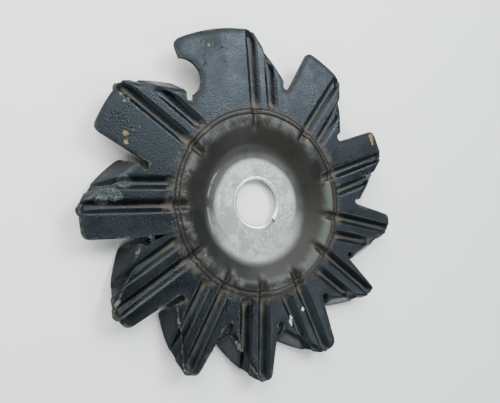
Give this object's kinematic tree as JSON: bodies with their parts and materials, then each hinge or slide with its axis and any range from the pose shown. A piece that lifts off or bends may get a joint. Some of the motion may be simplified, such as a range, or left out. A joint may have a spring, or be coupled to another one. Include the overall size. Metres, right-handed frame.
{
  "type": "alternator cooling fan",
  "caption": "Pressed steel cooling fan for an alternator: a dished hub with a keyed bore, in a ring of ribbed blades with folded vanes.",
  "frame": {"origin": "on the shaft axis, in the plane of the vane tips that the fan rests on", "axes": "+Z along the shaft towards the pulley side, +Y towards the widest blade, which is punched for balance"},
  "size_m": [0.126, 0.1261, 0.008],
  "materials": {
    "blade_enamel": "semi-gloss blue-black enamel on pressed steel, worn at the edges and dirty in the ribs",
    "dish_steel": "dark graphite grey steel, bare and bright on the clamp land round the bore"
  },
  "bodies": {
    "root": {"blade_ring": "blade_enamel", "hub_dish": "dish_steel"}
  },
  "joints": []
}
